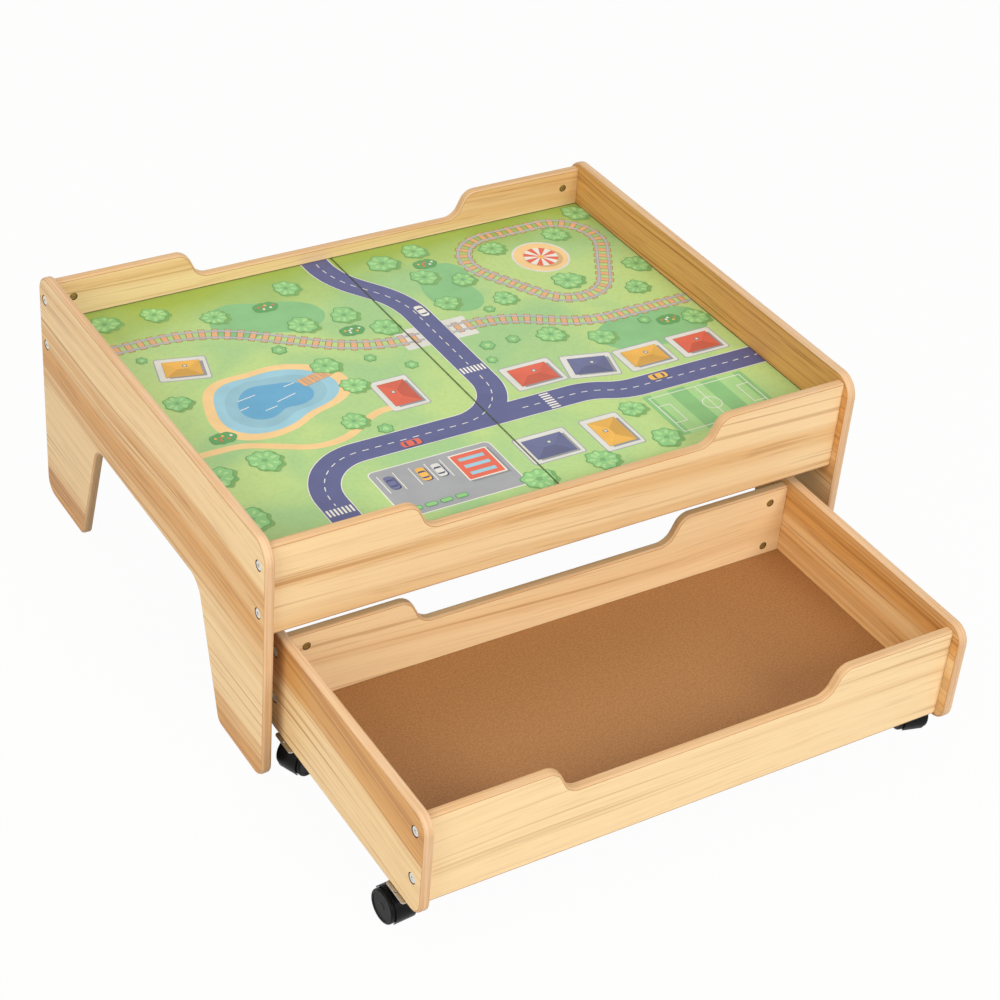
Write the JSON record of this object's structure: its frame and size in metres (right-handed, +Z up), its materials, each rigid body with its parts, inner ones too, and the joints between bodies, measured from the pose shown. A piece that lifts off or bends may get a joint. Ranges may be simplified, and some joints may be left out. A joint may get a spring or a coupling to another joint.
{
  "type": "train table",
  "caption": "Low wooden play table with a sunken printed tray on panel legs, and a shallow toy drawer on swivel casters that rolls out from below.",
  "frame": {"origin": "on the floor, under the middle of the whole object's box with the drawer rolled out as in the picture", "axes": "+Z up, +Y from the drawer's front towards the table's back, +X along the table's long side to the right of someone facing the drawer"},
  "size_m": [0.8, 0.956, 0.333],
  "materials": {
    "wood_foil": "satin wood-grain foil on fibreboard, with rounded painted edges",
    "play_print": "printed play map on thin fibreboard, under a satin varnish",
    "hardboard": "smooth brown hardboard",
    "plain_wood": "plain planed softwood",
    "bolt_steel": "bright zinc-plated steel",
    "nut_brass": "dull brass-coloured plating",
    "caster_black": "black moulded nylon with a satin sheen",
    "plate_steel": "grey pressed steel"
  },
  "bodies": {
    "table": {"table_end_panel_left": "wood_foil", "table_end_panel_right": "wood_foil", "table_rail_front": "wood_foil", "table_rail_back": "wood_foil", "play_board_left": "play_print", "play_board_right": "play_print", "middle_bar": "plain_wood", "table_bolt_front_left_upper": "bolt_steel", "table_bolt_front_left_lower": "bolt_steel", "table_bolt_front_right_upper": "bolt_steel", "table_bolt_front_right_lower": "bolt_steel", "table_bolt_back_left_upper": "bolt_steel", "table_bolt_back_left_lower": "bolt_steel", "table_bolt_back_right_upper": "bolt_steel", "table_bolt_back_right_lower": "bolt_steel", "table_nut_front_left_upper": "nut_brass", "table_nut_front_left_lower": "nut_brass", "table_nut_front_right_upper": "nut_brass", "table_nut_front_right_lower": "nut_brass", "table_nut_back_left_upper": "nut_brass", "table_nut_back_left_lower": "nut_brass", "table_nut_back_right_upper": "nut_brass", "table_nut_back_right_lower": "nut_brass"},
    "drawer": {"drawer_end_panel_left": "wood_foil", "drawer_end_panel_right": "wood_foil", "drawer_rail_front": "wood_foil", "drawer_rail_back": "wood_foil", "drawer_floor": "hardboard", "drawer_batten_left": "plain_wood", "drawer_batten_right": "plain_wood", "caster_plate_front_left": "plate_steel", "caster_plate_front_right": "plate_steel", "caster_plate_back_left": "plate_steel", "caster_plate_back_right": "plate_steel", "drawer_bolt_front_left_upper": "bolt_steel", "drawer_bolt_front_left_lower": "bolt_steel", "drawer_bolt_front_right_upper": "bolt_steel", "drawer_bolt_front_right_lower": "bolt_steel", "drawer_bolt_back_left_upper": "bolt_steel", "drawer_bolt_back_left_lower": "bolt_steel", "drawer_bolt_back_right_upper": "bolt_steel", "drawer_bolt_back_right_lower": "bolt_steel", "drawer_nut_front_left_upper": "nut_brass", "drawer_nut_front_left_lower": "nut_brass", "drawer_nut_front_right_upper": "nut_brass", "drawer_nut_front_right_lower": "nut_brass", "drawer_nut_back_left_upper": "nut_brass", "drawer_nut_back_left_lower": "nut_brass", "drawer_nut_back_right_upper": "nut_brass", "drawer_nut_back_right_lower": "nut_brass"},
    "caster_front_left": {"caster_hood_front_left": "caster_black"},
    "caster_front_right": {"caster_hood_front_right": "caster_black"},
    "caster_back_left": {"caster_hood_back_left": "caster_black"},
    "caster_back_right": {"caster_hood_back_right": "caster_black"},
    "wheels_front_left": {"caster_wheels_front_left": "caster_black"},
    "wheels_front_right": {"caster_wheels_front_right": "caster_black"},
    "wheels_back_left": {"caster_wheels_back_left": "caster_black"},
    "wheels_back_right": {"caster_wheels_back_right": "caster_black"}
  },
  "joints": [
    {"name": "drawer_slide", "type": "slide", "parent": "table", "child": "drawer", "axis": [0, -1, 0], "range_m": [-0.314, 0.08]},
    {"name": "swivel_front_left", "type": "hinge", "parent": "drawer", "child": "caster_front_left", "pos_m": [-0.3639, -0.4288, 0.0491], "axis": [0, 0, 1], "range_deg": [-188, 2]},
    {"name": "swivel_front_right", "type": "hinge", "parent": "drawer", "child": "caster_front_right", "pos_m": [0.3379, -0.4288, 0.0491], "axis": [0, 0, 1], "continuous": true},
    {"name": "swivel_back_left", "type": "hinge", "parent": "drawer", "child": "caster_back_left", "pos_m": [-0.3639, -0.1649, 0.0491], "axis": [0, 0, 1], "range_deg": [-118, 72]},
    {"name": "swivel_back_right", "type": "hinge", "parent": "drawer", "child": "caster_back_right", "pos_m": [0.3379, -0.1649, 0.0491], "axis": [0, 0, 1], "continuous": true},
    {"name": "roll_front_left", "type": "hinge", "parent": "caster_front_left", "child": "wheels_front_left", "pos_m": [-0.36501, -0.41464, 0.0208], "axis": [0.9969, 0.0785, 0], "continuous": true},
    {"name": "roll_front_right", "type": "hinge", "parent": "caster_front_right", "child": "wheels_front_right", "pos_m": [0.34158, -0.41508, 0.0208], "axis": [0.9659, -0.2588, 0], "continuous": true},
    {"name": "roll_back_left", "type": "hinge", "parent": "caster_back_left", "child": "wheels_back_left", "pos_m": [-0.35073, -0.15958, 0.0208], "axis": [0.3746, -0.9272, 0], "continuous": true},
    {"name": "roll_back_right", "type": "hinge", "parent": "caster_back_right", "child": "wheels_back_right", "pos_m": [0.32976, -0.15327, 0.0208], "axis": [0.8192, 0.5736, 0], "continuous": true}
  ]
}
